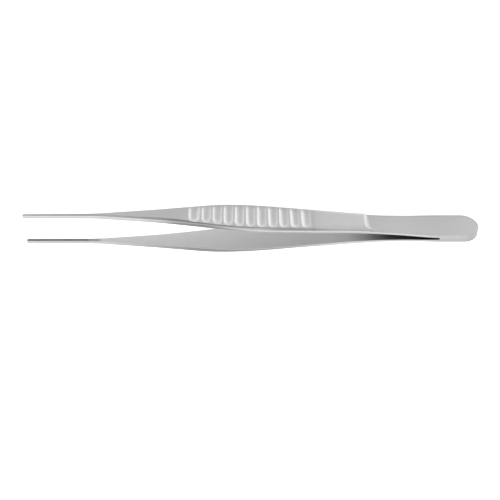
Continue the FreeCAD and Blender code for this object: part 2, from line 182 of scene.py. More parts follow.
class ForcepsSteel(bpy.types.PropertyGroup):
    """The satin finish, with colours that paint light, shade and sheen on it."""

    colour: tint("Steel", "Colour of the satin steel", (0.85, 0.85, 0.855))
    # Worn colour: wear on the polished edges, and a painted sheen in the flutes
    worn_and_sheen_colour: tint("Worn steel", "Colour where edges are polished bright", (0.9, 0.9, 0.905))
    tooth_colour: tint("Tooth rows", "Colour of the dull tooth rows", (0.45, 0.45, 0.455))
    # Painted shade: nearly black steel in the slit between the arms
    slit_shade_colour: tint("Slit", "Colour of the unpolished steel in the slit", (0.03, 0.03, 0.03))
    # Painted light: a lighter colour on the inner faces between the arms
    inner_light_colour: tint("Inner faces", "Colour of the ground inner faces", (0.895, 0.895, 0.9))
    # Painted shade: a darker grey on tail, leaf, grip front and shank, and in a band beside the rearmost
    # flute
    painted_shade_grey: tint("Grey faces", "Colour of tail, leaf and shank", (0.72, 0.72, 0.725))
    # Painted shade on the side walls and on the outer face's edges beside them
    wall_shade_colour: tint("Side walls", "Colour of the dull side walls", (0.27, 0.27, 0.275))
    roughness: fraction("Roughness", "Roughness of the satin finish", 0.34)
    grain_scale: amount("Grain scale", "Fineness of the lengthwise grain", 9000)
    grain_stretch: amount("Grain stretch", "How much longer than wide the grain is", 14)
    patch_scale: amount("Patch scale", "Fineness of the slow changes of roughness", 160)
    grain_height: length("Grain height", "Relief of the grain", 0.000008)
    grain_strength: fraction("Grain strength", "How strongly the relief shows", 0.25)


class ForcepsStage(bpy.types.PropertyGroup):
    """Floor, lamps and camera."""

    floor_colour: tint("Floor", "Colour of the pale floor", (0.8, 0.8, 0.8))
    floor_size: length("Floor size", "Width of the floor", 6.0)
    camera_distance: length("Camera distance", "From the camera to the middle of the forceps", 0.31706)
    camera_elevation: FloatProperty(name="Camera elevation", description="Its height over the horizon",
                                    default=math.radians(50), subtype="ANGLE")


# Curves along an arm: places from the tail end, and the value at each of them. How much of its sweep the
# step has there, and how far the rear bevels' softness has gone.
STEP_SWEEP = [0.024, 0.032, 0.040, 0.052], [0, 1, 1, 0]
BEVEL_FRONT = [0.048, 0.078], [0, 1]

# Places where the grip's bevels are rear, grip, waist, waist and grip bevels in turn
BEVEL_PLACES = [0.048, 0.072, 0.087, 0.093, 0.099]

# Outer face: its rounding where the pad ends and at the step's foot, how sharply the step bends, how far
# the face's line runs past the arm's ends, and a height that is surely clear of the face
PAD_RADIUS = 0.2
FOOT_RADIUS = 0.0001
SWEEP_POWER = 1.8
PAST_END = 0.002
CLEARANCE = 0.001

# Half width up to which bevels have their least softness, and over which they gain the rest
SLENDER = 0.0005
SOFTENING = 0.002
LEAST_SOFTNESS = 0.3


def along(place, curve):
    """The value of a curve at some places along the arm."""
    return np.interp(place, *curve)


def rounded_line(corners, places):
    """Levels along an outline at some places. The outline runs straight from corner to corner, each (place,
    level, radius), and a corner with a radius is rounded by an arc that is tangent to both of its sides."""
    levels = np.interp(places, [c[0] for c in corners], [c[1] for c in corners])
    for before, (place, level, radius), after in zip(corners, corners[1:], corners[2:]):
        if not radius:
            continue
        slope_in = math.atan2(level - before[1], place - before[0])
        slope_out = math.atan2(after[1] - level, after[0] - place)
        turn = 1 if slope_out > slope_in else -1
        reach = radius * math.tan(abs(slope_out - slope_in) / 2)
        start = place - reach * math.cos(slope_in)
        finish = place + reach * math.cos(slope_out)
        centre = (start - turn * radius * math.sin(slope_in),
                  level - reach * math.sin(slope_in) + turn * radius * math.cos(slope_in))
        inside = (places > start) & (places < finish)
        levels[inside] = centre[1] - turn * np.sqrt(radius ** 2 - (places[inside] - centre[0]) ** 2)
    return levels


def soft_minimum(first, second, softness):
    """The lower of two surfaces, blended where they cross."""
    share = np.clip(0.5 + 0.5 * (second - first) / softness, 0, 1)
    return second + (first - second) * share - softness * share * (1 - share)


def edge_drop(inset, radius):
    """How far a rounded edge has fallen away at a distance from the outline."""
    short = np.clip(radius - inset, 0, radius)
    return radius - np.sqrt(radius ** 2 - short ** 2)


def bevel_size(place, rear, grip, waist):
    """A size of the grip's bevels, which changes from the shoulder to the shank."""
    return np.interp(place, BEVEL_PLACES, [rear, grip, waist, waist, grip])


class ArmShape:
    """The levels and outline of one arm, from the sizes in the panel."""

    def __init__(self, scene):
        self.plan = scene.forceps_plan
        self.profile = scene.forceps_profile
        self.teeth = scene.forceps_teeth
        profile = self.profile
        self.leaf_slope = ((profile.bow_half_gap - profile.slit_half_gap)
                           / (profile.bow_place - profile.weld_length))
        self.grip_slope = (profile.bend[1] - profile.bow_half_gap) / (profile.bend[0] - profile.bow_place)
        self.jaw_slope = ((profile.jaw_tip_depth - profile.jaw_root_depth)
                          / (self.plan.overall_length - self.plan.jaw_corner[0]))
        self.teeth_end = self.plan.overall_length - self.teeth.nose_length
        self.teeth_start = self.teeth_end - self.teeth.count * self.teeth.pitch

    def grip_level(self, place):
        """Outer face of the grip before bevels and flutes."""
        profile = self.profile
        return profile.bow_half_gap + profile.grip_thickness + (place - profile.bow_place) * self.grip_slope

    def jaw_level(self, place):
        """Back of the jaw before its bevels."""
        profile = self.profile
        return profile.bend[1] + profile.jaw_root_depth + (place - self.plan.jaw_corner[0]) * self.jaw_slope

    def leaf_level(self, place):
        """Outer face of the spring leaf."""
        profile = self.profile
        return (profile.slit_half_gap + profile.leaf_thickness
                + (place - profile.weld_length) * self.leaf_slope)

    def half_width(self, place):
        """Half the arm's width between its rounded ends."""
        plan = self.plan
        tip = plan.overall_length, plan.tip_half_width, 0
        return rounded_line([(0, plan.tail_half_width, 0), plan.tail_corner, plan.neck_corner,
                             plan.grip_corner, plan.shank_corner, plan.jaw_corner, tip], place)

    def inner_level(self, place):
        """The inner face, without teeth."""
        profile = self.profile
        line = rounded_line([(profile.weld_length, profile.slit_half_gap, 0),
                             (profile.bow_place, profile.bow_half_gap, 0), profile.bend,
                             (self.plan.overall_length, profile.bend[1], 0)], place)
        return np.where(place <= profile.weld_length, 0, line)

    def outer_level(self, place, inset, low):
        """The outer face with its bevels and rounded edges, at a distance from the outline. On the upper
        side the step bends towards the tail near the edge, and the low one has smaller bevels."""
        profile = self.profile
        sweep = 0 if low else profile.shoulder_sweep
        share = profile.low_bevel_share if low else 1
        near_edge = np.clip(1 - inset / profile.sweep_width, 0, 1) ** SWEEP_POWER
        shift = along(place, STEP_SWEEP) * sweep * near_edge
        leaf_start = profile.weld_length + (
            profile.pad_thickness - profile.slit_half_gap - profile.leaf_thickness) / self.leaf_slope
        step_foot = profile.shoulder_place
        step_top = profile.shoulder_place + profile.shoulder_run
        far_end = self.plan.overall_length + PAST_END
        shank = profile.shank_place
        face = rounded_line([(-PAST_END, profile.pad_thickness, 0),
                             (leaf_start, profile.pad_thickness, PAD_RADIUS),
                             (step_foot, self.leaf_level(step_foot), FOOT_RADIUS),
                             (step_top, self.grip_level(step_top), profile.shoulder_radius),
                             (shank, self.grip_level(shank), profile.shank_radius),
                             (far_end, self.jaw_level(far_end), 0)], place + shift)
        face = face - shift * self.grip_slope
        depth = bevel_size(place, profile.rear_bevel_depth, profile.grip_bevel_depth,
                           profile.waist_bevel_depth)
        width = bevel_size(place, profile.rear_bevel_width, profile.grip_bevel_width,
                           profile.waist_bevel_width)
        grip_bevel = self.grip_level(place) - depth * (share - inset / width)
        # the grip's bevels start at the shoulder, and the leaf and the pad have none
        grip_bevel = np.where(place + shift < step_foot, face + CLEARANCE, grip_bevel)
        jaw_bevel = (self.jaw_level(place)
                     - profile.jaw_bevel_depth * (1 - inset / profile.jaw_bevel_width))
        wide = np.clip((self.half_width(place) - SLENDER) / SOFTENING, LEAST_SOFTNESS, 1)
        softness = profile.bevel_softness * wide
        rear = 1 - along(place, BEVEL_FRONT)
        rear_softness = softness + rear * (profile.rear_softness - profile.bevel_softness)
        level = soft_minimum(face, grip_bevel, rear_softness)
        level = soft_minimum(level, jaw_bevel, softness)
        return level - edge_drop(inset, profile.edge_radius)


# Spacing of the mesh's sections on the leaf, the step, the grip's plain part, the flutes and the shank
LEAF_SPACING = 0.0006
STEP_SPACING = 0.00007
GRIP_SPACING = 0.0005
FLUTE_SPACING = 0.00012
SHANK_SPACING = 0.0004
SECTIONS_PER_TOOTH = 6

# How far the step's fine sections reach to both sides of its foot, where the flutes' ones are, the gap
# between two runs of sections and before the teeth, and the length of a sudden step in a face
STEP_BEFORE = 0.0031
STEP_AFTER = 0.0019
FLUTES_START = 0.0548
FLUTES_END = 0.0960
RUN_GAP = 0.0003
TEETH_GAP = 0.0002
SUDDEN = 0.00002

# The outline's rounded ends: the angles between which they turn, in degrees, and their points
TAIL_TURN = 0, 87, 30
TIP_TURN = 80, 0, 9


def stations(shape):
    """Places along the arm's side at which its mesh has a section, closer together where detail is fine."""
    plan, profile = shape.plan, shape.profile
    side_start = plan.tail_end_radius
    side_end = plan.overall_length - plan.tip_radius
    step_start = profile.shoulder_place - STEP_BEFORE
    step_end = profile.shoulder_place + STEP_AFTER
    runs = [
        np.arange(side_start, profile.weld_length, LEAF_SPACING),
        [profile.weld_length, profile.weld_length + SUDDEN],
        np.arange(profile.weld_length + RUN_GAP, step_start - RUN_GAP, LEAF_SPACING),
        np.arange(step_start, step_end, STEP_SPACING),
        np.arange(step_end + RUN_GAP, FLUTES_START - RUN_GAP, GRIP_SPACING),
        np.arange(FLUTES_START, FLUTES_END, FLUTE_SPACING),
        np.arange(FLUTES_END + RUN_GAP, shape.teeth_start - TEETH_GAP, SHANK_SPACING),
        [shape.teeth_start - SUDDEN],
        np.linspace(shape.teeth_start, shape.teeth_end, shape.teeth.count * SECTIONS_PER_TOOTH + 1),
        [shape.teeth_end + SUDDEN, side_end],
    ]
    return np.concatenate([np.asarray(run, float) for run in runs])


def outline(shape):
    """Points along one side of the outline, from the tail's middle to the tip's, with their normals."""
    plan = shape.plan
    turns = np.radians(np.linspace(*TAIL_TURN))
    tail = np.stack([plan.tail_end_radius * (1 - np.cos(turns)),
                     plan.tail_half_width - plan.tail_end_radius + plan.tail_end_radius * np.sin(turns),
                     -np.cos(turns), np.sin(turns)], 1)
    places = stations(shape)
    widths = shape.half_width(places)
    slopes = np.gradient(widths, places)
    steep = np.hypot(slopes, 1)
    side = np.stack([places, widths, -slopes / steep, 1 / steep], 1)
    turns = np.radians(np.linspace(*TIP_TURN))
    tip = np.stack([plan.overall_length - plan.tip_radius * (1 - np.cos(turns)),
                    plan.tip_half_width - plan.tip_radius + plan.tip_radius * np.sin(turns),
                    np.cos(turns), np.sin(turns)], 1)
    tail_middle = [(0, 0, -1, 0)]
    tip_middle = [(plan.overall_length, 0, 1, 0)]
    return np.concatenate([tail_middle, tail, side, tip, tip_middle])


# Distances from the outline at which the outer face has a row of points
OUTER_ROWS = np.array([0, 0.016, 0.06, 0.12, 0.2, 0.3, 0.42, 0.56, 0.72, 0.9, 1.1, 1.35, 1.6, 1.9, 2.2, 2.6,
                       3.0]) * 0.001

# On the tail the rows keep these distances. Further on they close up as the arm narrows.
FULL_ROWS_END = 0.02
NARROW_HALF_WIDTH = 0.0004
ROW_CLOSING = 0.0028
LEAST_ROW_SCALE = 0.13

# Rows on the inner face's rounded edge, in radii from the outline, between the middle line and the outer
# face's innermost row, and up the side wall, both as shares of the way
INNER_ROWS = np.array([0, 0.134, 0.5, 1.0])
MIDDLE_ROWS = np.array([[0, 0.25, 0.5, 0.75]])
WALL_ROWS = np.array([[0.03, 0.2, 0.8, 0.97]])

# Radius of the inner face's edge, which is nearly sharp where the arms are welded
INNER_EDGE_RADIUS = [0.0134, 0.024, 0.078, 0.088, 0.128], [0.0002, 0.00012, 0.00012, 0.00005, 0.00004]
WELD_EDGE_RADIUS = 0.00001

# Half widths of the jaw's inner face between which the tooth rows keep their size, and the width of a
# groove's steep wall
WIDEST_JAW = 0.00062
NARROWEST_JAW = 0.00051
GROOVE_WALL = 0.000004

# Painted shade on each arm's side wall along it, then shares of it: on the inner face's edge, and on the
# outer face near its edge, with how far it reaches. The low rim has painted shade of its own.
SINGLE_ROW_WALL_SHADE = [0.0134, 0.018, 0.050, 0.068, 0.096, 0.122], [0.28, 0, 0, 0.75, 0.75, 0]
DOUBLE_ROW_WALL_SHADE = ([0.0134, 0.018, 0.030, 0.040, 0.060, 0.072, 0.086, 0.0895, 0.0995, 0.104, 0.112],
                   [0.2, 0, 0, 0.18, 0.18, 0.35, 0.75, 0.85, 0.85, 0.35, 0])
INNER_EDGE_SHADE = 0.3
EDGE_SHADE_SHARE = [0.018, 0.030, 0.080, 0.087, 0.094, 0.099], [0, 0.6, 0.6, 0.9, 0.9, 0.7]
EDGE_SHADE_WIDTH = [0.072, 0.087, 0.093, 0.099], [0.0009, 0.0004, 0.0004, 0.0009]
LOW_RIM_SHADE = 0.2
LOW_RIM_WIDTH = 0.0008
LOW_RIM_FADE = 0.0004

# Painted shade in the slit, the dull strip that starts behind the teeth, the painted shade of leaf and pad,
# which ends at the step, that of the grip's front and the shank, and a band of painted shade beside the
# rearmost flute
SLIT_PAINTED_SHADE = [0.019, 0.029, 0.032, 0.035, 0.0372, 0.0434], [1, 0.75, 0.55, 0.36, 0.22, 0]
STRIP_START = 0.1248
STRIP_FADE = 0.0015
LEAF_SHADE = 0.85
LEAF_FADE = 0.0002
FRONT_SHADE = [0.051, 0.053, 0.093, 0.101], [0, 0.2, 0.2, 0.69]
SHADE_BAND_PLACE = 0.0547
SHADE_BAND_WIDTH = 0.0007


def jaw_columns(teeth, side):
    """The toothed face of a jaw: distances from the middle at which it has a line of points, how far each
    line is cut in, or stands proud below zero, and whether it is on a crest that gets teeth."""
    if side > 0:
        row = teeth.row_half_width
        groove = row + teeth.groove_width
        lines = [0, row / 2, row, row + GROOVE_WALL, groove, groove + GROOVE_WALL]
        return lines, [-teeth.row_height] * 3 + [teeth.groove_depth] * 2 + [0], [1, 1, 1, 0, 0, 0]
    channel = teeth.channel_half_width
    row = channel + teeth.twin_row_width
    lines = [0, channel / 2, channel, channel + GROOVE_WALL, row, row + GROOVE_WALL]
    return lines, [teeth.channel_depth] * 3 + [0] * 3, [0, 0, 0, 1, 1, 0]


def beside(*columns):
    """Grids of points joined side by side."""
    return np.concatenate(columns, 1)


def inner_face(shape, rim, jaw_lines, jaw_cuts):
    """Points of the inner face from its middle to its edge: their places, widths and levels, and how far
    they are on the rounded edge. The rim holds the outline's places, widths and normals."""
    x, w, nx, nw = rim
    radius = np.where(x <= shape.profile.weld_length, WELD_EDGE_RADIUS, along(x, INNER_EDGE_RADIUS))
    inset = INNER_ROWS[None, ::-1] * radius
    edge_x = x - inset * nx
    edge_w = w - inset * nw
    reach = edge_w[:, :1]
    scale = np.where(reach > WIDEST_JAW, reach / WIDEST_JAW, np.minimum(reach / NARROWEST_JAW, 1))
    lines = np.asarray(jaw_lines)[None, :] * scale
    place = beside(np.repeat(edge_x[:, :1], lines.shape[1], 1), edge_x)
    toothed = (place >= shape.teeth_start) & (place <= shape.teeth_end)
    cuts = np.concatenate([jaw_cuts, np.zeros(edge_x.shape[1])])[None, :]
    fall = beside(np.zeros_like(lines), edge_drop(inset, radius))
    level = shape.inner_level(place) + np.where(toothed, cuts, 0) + fall
    return place, beside(lines, edge_w), level, fall / radius


def outer_face(shape, rim, low):
    """Points of the outer face from its edge to its middle: their places, widths, levels and insets."""
    x, w, nx, nw = rim
    row_scale = np.clip((w - NARROW_HALF_WIDTH) / ROW_CLOSING, LEAST_ROW_SCALE, 1)
    row_scale = np.where(x < FULL_ROWS_END, 1, row_scale)
    row_inset = OUTER_ROWS[None, ::-1] * row_scale
    row_x = x - row_inset * nx
    row_w = w - row_inset * nw
    middle_x = np.repeat(row_x[:, :1], MIDDLE_ROWS.shape[1], 1)
    middle_w = row_w[:, :1] * MIDDLE_ROWS
    middle_inset = row_inset[:, :1] + (row_w[:, :1] - middle_w) * nw
    place = beside(middle_x, row_x)
    inset = beside(middle_inset, row_inset)
    level = shape.outer_level(place, inset, low)
    return [grid[:, ::-1] for grid in (place, beside(middle_w, row_w), level, inset)]


def painted_wall_shade(places, x, inset, wall_shade, low):
    """How much painted shade each point has: a side wall most, and the faces less and only near it."""
    walls = WALL_ROWS.shape[1]
    side = places.shape[1] - inset.shape[1]
    side_share = np.zeros(side)
    side_share[-walls - 1] = INNER_EDGE_SHADE
    side_share[-walls:] = 1
    shade = along(places, wall_shade)
    if low:
        outer = LOW_RIM_SHADE * np.clip((LOW_RIM_WIDTH - inset) / LOW_RIM_FADE, 0, 1)
    else:
        margin = along(x, EDGE_SHADE_WIDTH)
        outer = along(x, EDGE_SHADE_SHARE) * np.clip((margin - inset) / (margin / 3), 0, 1)
        outer = outer * shade[:, side:]
    return beside(side_share * shade[:, :side], outer)


def arm_grid(shape, jaw_lines, jaw_cuts, wall_shade, low):
    """One arm as a grid of points, with a row for each section and a column for each line along the arm.
    It covers the +Z half, or the low one mirrored, from the inner face's middle round to the outer one's.
    Each point has its place, width and level, its inset (its distance from the outline on the outer face,
    and -1 elsewhere), and how far it is on a rounded edge, on the inner face and in painted shade."""
    rim = outline(shape).T[:, :, None]
    x, w = rim[:2]
    inner_x, inner_w, inner_y, inner_edge = inner_face(shape, rim, jaw_lines, jaw_cuts)
    outer_x, outer_w, outer_y, inset = outer_face(shape, rim, low)
    wall_y = inner_y[:, -1:] * (1 - WALL_ROWS) + outer_y[:, :1] * WALL_ROWS
    on_wall = np.ones_like(wall_y)
    places = beside(inner_x, x * on_wall, outer_x)
    outer_edge = edge_drop(inset, shape.profile.edge_radius) / shape.profile.edge_radius
    edges = beside(inner_edge, 0 * on_wall, outer_edge)
    return {
        "place": places,
        "width": beside(inner_w, w * on_wall, outer_w),
        "level": beside(inner_y, wall_y, outer_y),
        "inset": beside(np.full_like(inner_x, -1), -on_wall, inset),
        "edge": np.sqrt(np.clip(edges, 0, 1)),
        "inner": beside(np.ones_like(inner_x), 0 * on_wall, np.zeros_like(outer_x)),
        # painted shade on the side walls and the edges beside them
        "darkened": painted_wall_shade(places, x, inset, wall_shade, low),
    }


def arm_finish_and_shade(shape, grid, crest_columns):
    """How far each point of a grid is a crest with teeth, in the slit's painted shade, on the dull strip or
    in the painted shade of a grey face.
    """
    places, inner = grid["place"], grid["inner"]
    crest = np.zeros_like(places)
    crest[:, :len(crest_columns)] = np.asarray(crest_columns)[None, :]
    crest *= (places >= shape.teeth_start) & (places <= shape.teeth_end)
    # painted shade in the slit between the arms, darkest near the weld
    slit = inner * (places > shape.profile.weld_length) * along(places, SLIT_PAINTED_SHADE)
    strip = inner * np.clip((places - STRIP_START) / STRIP_FADE, 0, 1)
    step_foot = shape.profile.shoulder_place
    # painted shade on leaf, pad, grip front and shank, and a band of it beside the rearmost flute
    shade_places, shade_levels = FRONT_SHADE
    grey = np.interp(places, [step_foot - LEAF_FADE, step_foot, *shade_places], [LEAF_SHADE, 0, *shade_levels])
    band = np.exp(-((places - SHADE_BAND_PLACE) / SHADE_BAND_WIDTH) ** 2)
    outer = grid["inset"] >= 0
    return {"crest": crest, "slit": slit, "strip": strip, "grey": outer * np.maximum(grey, band)}


def blank_arm(name, shape, side):
    """The arm before flutes and teeth, as a closed mesh, with its finish and its painted shade as
    attributes of its points.
    """
    jaw_lines, jaw_cuts, crest_columns = jaw_columns(shape.teeth, side)
    # painted shade along the side walls of this arm
    wall_shade = SINGLE_ROW_WALL_SHADE if side > 0 else DOUBLE_ROW_WALL_SHADE
    upper = arm_grid(shape, jaw_lines, jaw_cuts, wall_shade, False)
    lower = arm_grid(shape, jaw_lines, jaw_cuts, wall_shade, True)
    columns = upper["place"].shape[1]
    ring = np.concatenate([np.arange(columns), np.arange(columns - 2, 0, -1)])
    mirrored = (np.arange(len(ring)) >= columns)[None, :]
    x = upper["place"][:, ring] - shape.plan.overall_length / 2
    y = np.where(mirrored, lower["level"][:, ring], upper["level"][:, ring]) * side
    z = np.where(mirrored, -1, 1) * upper["width"][:, ring] + LYING_HEIGHT
    index = np.arange(x.size).reshape(x.shape)
    here, after = index[:-1], index[1:]
    quads = np.stack([here, after, np.roll(after, -1, 1), np.roll(here, -1, 1)], -1).reshape(-1, 4)
    if side > 0:
        quads = quads[:, ::-1]
    mesh = bpy.data.meshes.new(name)
    mesh.from_pydata(np.stack([x, y, z], -1).reshape(-1, 3).tolist(), [], quads.tolist())
    # the finish and painted shade of each point
    finish = {key: upper[key][:, ring] for key in ("inset", "edge", "inner")}
    # the low half's painted shade comes from its own grid
    finish["darkened"] = np.where(mirrored, lower["darkened"][:, ring], upper["darkened"][:, ring])
    for key, values in arm_finish_and_shade(shape, upper, crest_columns).items():
        finish[key] = values[:, ring]
    for key, values in finish.items():
        layer = mesh.attributes.new(key, "FLOAT", "POINT")
        layer.data.foreach_set("value", values.astype(np.float32).ravel())
    arm = bpy.data.objects.new(name, mesh)
    bpy.context.scene.collection.objects.link(arm)
    return arm


class Tree:
    """Wires a node tree: each call adds one node and returns one of its outputs."""

    def __init__(self, tree):
        self.tree = tree

    def node(self, kind, *inputs, output=0, **settings):
        """A node with its settings, its inputs in order (None leaves one alone) and one of its outputs."""
        node = self.tree.nodes.new(kind)
        for key, value in settings.items():
            setattr(node, key, value)
        for socket, value in zip(node.inputs, inputs):
            self.feed(socket, value)
        return node.outputs[output]

    def feed(self, socket, value):
        """Links a socket to another one, or sets its value."""
        if value is None:
            return
        if isinstance(value, bpy.types.NodeSocket):
            self.tree.links.new(value, socket)
        else:
            socket.default_value = value

    def math(self, operation, *inputs):
        """A Math node."""
        return self.node("ShaderNodeMath", *inputs, operation=operation)

    def plus(self, first, second):
        """A sum."""
        return self.math("ADD", first, second)

    def minus(self, first, second):
        """A difference."""
        return self.math("SUBTRACT", first, second)

    def times(self, first, second):
        """A product."""
        return self.math("MULTIPLY", first, second)

    def over(self, first, second):
        """A quotient."""
        return self.math("DIVIDE", first, second)


def geometry_tree(name, sizes):
    """A Geometry Nodes tree with a geometry in and out, a material and named sizes."""
    tree = bpy.data.node_groups.new(name, "GeometryNodeTree")
    tree.interface.new_socket("Geometry", in_out="INPUT", socket_type="NodeSocketGeometry")
    tree.interface.new_socket("Geometry", in_out="OUTPUT", socket_type="NodeSocketGeometry")
    tree.interface.new_socket("Material", in_out="INPUT", socket_type="NodeSocketMaterial")
    for size in sizes:
        tree.interface.new_socket(size, in_out="INPUT", socket_type="NodeSocketFloat")
    entry = tree.nodes.new("NodeGroupInput")
    return tree, Tree(tree), {socket.name: socket for socket in entry.outputs if socket.name}


def close_geometry(tree, wires, geometry, material):
    """Ends a tree in real geometry with its material."""
    real = wires.node("GeometryNodeRealizeInstances", geometry)
    dressed = wires.node("GeometryNodeSetMaterial", real, None, material)
    leave = tree.nodes.new("NodeGroupOutput")
    tree.links.new(dressed, leave.inputs[0])


FLUTE_TREE = "Press finger flutes"
NOTCH_TREE = "Cut jaw teeth"


def flute_tree():
    """Presses round flutes into the outer face: a point above a flute's round cutter comes down on it."""
    tree, wires, size = geometry_tree(FLUTE_TREE, [
        "Side", "Count", "Pitch", "Slope", "Depth", "Radius", "First Place", "First Level", "Run-out",
        "Low Run-out", "Lift", "Middle", "Softness", "Last Shift", "Last Depth", "Last Radius"])
    spot = wires.node("GeometryNodeInputPosition")
    split = tree.nodes.new("ShaderNodeSeparateXYZ")
    tree.links.new(spot, split.inputs[0])
    x, y, z = split.outputs
    inset = wires.node("GeometryNodeInputNamedAttribute", "inset", data_type="FLOAT")
    run = wires.minus(x, size["First Place"])
    nearest = wires.math("ROUND", wires.over(run, size["Pitch"]))
    last = wires.minus(size["Count"], 1.0)
    which = wires.math("MINIMUM", wires.math("MAXIMUM", nearest, 0.0), last)
    is_last = wires.math("GREATER_THAN", which, wires.minus(last, 0.5))
    middle = wires.plus(wires.times(which, size["Pitch"]), wires.times(is_last, size["Last Shift"]))
    radius = wires.plus(size["Radius"], wires.times(is_last, size["Last Radius"]))
    depth = wires.plus(size["Depth"], wires.times(is_last, size["Last Depth"]))
    off = wires.minus(run, middle)
    level = wires.plus(size["First Level"], wires.times(middle, size["Slope"]))
    off_squared = wires.math("POWER", wires.math("ABSOLUTE", off), 2.0)
    square = wires.minus(wires.math("POWER", radius, 2.0), off_squared)
    arc = wires.minus(radius, wires.math("SQRT", wires.math("MAXIMUM", square, 0.0)))
    floor = wires.plus(wires.minus(level, depth), arc)
    upper = wires.math("GREATER_THAN", z, size["Middle"])
    more = wires.times(upper, wires.minus(size["Run-out"], size["Low Run-out"]))
    run_out = wires.plus(size["Low Run-out"], more)
    close = wires.math("MAXIMUM", wires.minus(1.0, wires.over(inset, run_out)), 0.0)
    risen = wires.plus(floor, wires.times(wires.math("POWER", close, 2.0), size["Lift"]))
    height = wires.times(y, size["Side"])
    pressed = wires.math("SMOOTH_MIN", height, risen, size["Softness"])
    moved = wires.node("ShaderNodeCombineXYZ", x, wires.times(pressed, size["Side"]), z)
    on_face = wires.math("GREATER_THAN", inset, -0.5)
    in_reach = wires.math("LESS_THAN", wires.math("ABSOLUTE", off), size["Radius"])
    chosen = wires.times(on_face, in_reach)
    # how deep a point lies in its flute, which the steel turns into a painted sheen
    sunk = wires.over(wires.minus(height, pressed), size["Depth"])
    share = wires.times(sunk, chosen)
    marked = wires.node("GeometryNodeStoreNamedAttribute", size["Geometry"], None, "flute", share,
                        data_type="FLOAT", domain="POINT")
    geometry = wires.node("GeometryNodeSetPosition", marked, chosen, moved)
    close_geometry(tree, wires, geometry, size["Material"])
    return tree


def notch_tree():
    """Cuts close cross notches into the crests of the tooth rows."""
    tree, wires, size = geometry_tree(NOTCH_TREE, ["Side", "Pitch", "Start", "Depth"])
    spot = wires.node("GeometryNodeInputPosition")
    split = tree.nodes.new("ShaderNodeSeparateXYZ")
    tree.links.new(spot, split.inputs[0])
    crest = wires.node("GeometryNodeInputNamedAttribute", "crest", data_type="FLOAT")
    steps = wires.over(wires.minus(split.outputs[0], size["Start"]), size["Pitch"])
    wave = wires.math("PINGPONG", steps, 0.5)
    depth = wires.times(wires.times(wave, 2.0), size["Depth"])
    shift = wires.node("ShaderNodeCombineXYZ", 0.0, wires.times(depth, size["Side"]), 0.0)
    cut = wires.math("GREATER_THAN", crest, 0.5)
    geometry = wires.node("GeometryNodeSetPosition", size["Geometry"], cut, None, shift)
    close_geometry(tree, wires, geometry, size["Material"])
    return tree


def shape_with(arm, tree, material, sizes):
    """Runs a tree on the arm with the given sizes and keeps the result as its plain mesh."""
    modifier = arm.modifiers.new(tree.name, "NODES")
    modifier.node_group = tree
    names = {item.name: item.identifier for item in tree.interface.items_tree if item.in_out == "INPUT"}
    modifier[names["Material"]] = material
    for name, value in sizes.items():
        modifier[names[name]] = float(value)
    depsgraph = bpy.context.evaluated_depsgraph_get()
    result = bpy.data.meshes.new_from_object(arm.evaluated_get(depsgraph))
    arm.modifiers.clear()
    arm.data = result


# Points nearer than this are one, shorter edges are dissolved, and a steeper edge stays sharp
MERGE_DISTANCE = 1e-7
LEAST_EDGE = 1e-8
SHARP_ANGLE = math.radians(38)


def finish_arm(arm):
    """Closes the ends, turns every face outwards and shades the steel smooth."""
    work = bmesh.new()
    work.from_mesh(arm.data)
    bmesh.ops.remove_doubles(work, verts=work.verts, dist=MERGE_DISTANCE)
    bmesh.ops.dissolve_degenerate(work, dist=LEAST_EDGE, edges=work.edges)
    bmesh.ops.recalc_face_normals(work, faces=work.faces)
    work.to_mesh(arm.data)
    work.free()
    for face in arm.data.polygons:
        face.use_smooth = True
    arm.data.set_sharp_from_angle(angle=SHARP_ANGLE)


# Detail and roughness of the noises, their low and high levels, what they and the masks add to the steel's
# roughness, and how much the grain changes its colour
GRAIN_NOISE = 3.0, 0.6
PATCH_NOISE = 3.0, 0.5
NOISE_RANGE = 0.3, 0.7
GRAIN_ROUGHNESS = 0.04
PATCH_ROUGHNESS = 0.02
EDGE_ROUGHNESS = -0.08
CREST_ROUGHNESS = 0.12
INNER_ROUGHNESS = 0.33
GRAIN_CONTRAST = 0.04

# Attributes of the arm's points that the steel reads, some of them for painted light, shade and sheen
MASKS = "edge", "flute", "crest", "inner", "slit", "darkened", "strip", "grey"

# How far flutes take the worn colour as a painted sheen and edges as wear, and how far the others take
# theirs
FLUTE_PAINTED_SHEEN = 0.35
EDGE_SHINE = 0.2
# painted light on the inner faces
INNER_LIGHT_SHARE = 0.9
STRIP_SHARE = 0.8
# painted shade in the slit
SLIT_SHADE_SHARE = 0.96


def spread(wires, noise, least, most):
    """A noise brought between two levels."""
    return wires.node("ShaderNodeMapRange", noise, *NOISE_RANGE, least, most)


def steel_roughness(wires, look, place, grain, mask):
    """Satin with slow changes, smoother on worn edges and coarser on crests and inner faces."""
    patches = wires.node("ShaderNodeTexNoise", place, None, look.patch_scale, *PATCH_NOISE)
    rough = spread(wires, grain, look.roughness - GRAIN_ROUGHNESS, look.roughness + GRAIN_ROUGHNESS)
    patch = spread(wires, patches, -PATCH_ROUGHNESS, PATCH_ROUGHNESS)
    worn = wires.times(mask["edge"], EDGE_ROUGHNESS)
    coarse = wires.plus(wires.times(mask["crest"], CREST_ROUGHNESS),
                        wires.times(mask["inner"], INNER_ROUGHNESS))
    return wires.plus(wires.plus(rough, patch), wires.plus(worn, coarse))


def mixed(wires, share, first, second):
    """The first colour, turned into the second one as far as the share says."""
    return wires.node("ShaderNodeMix", share, *[None] * 5, first, second, data_type="RGBA", output=2)


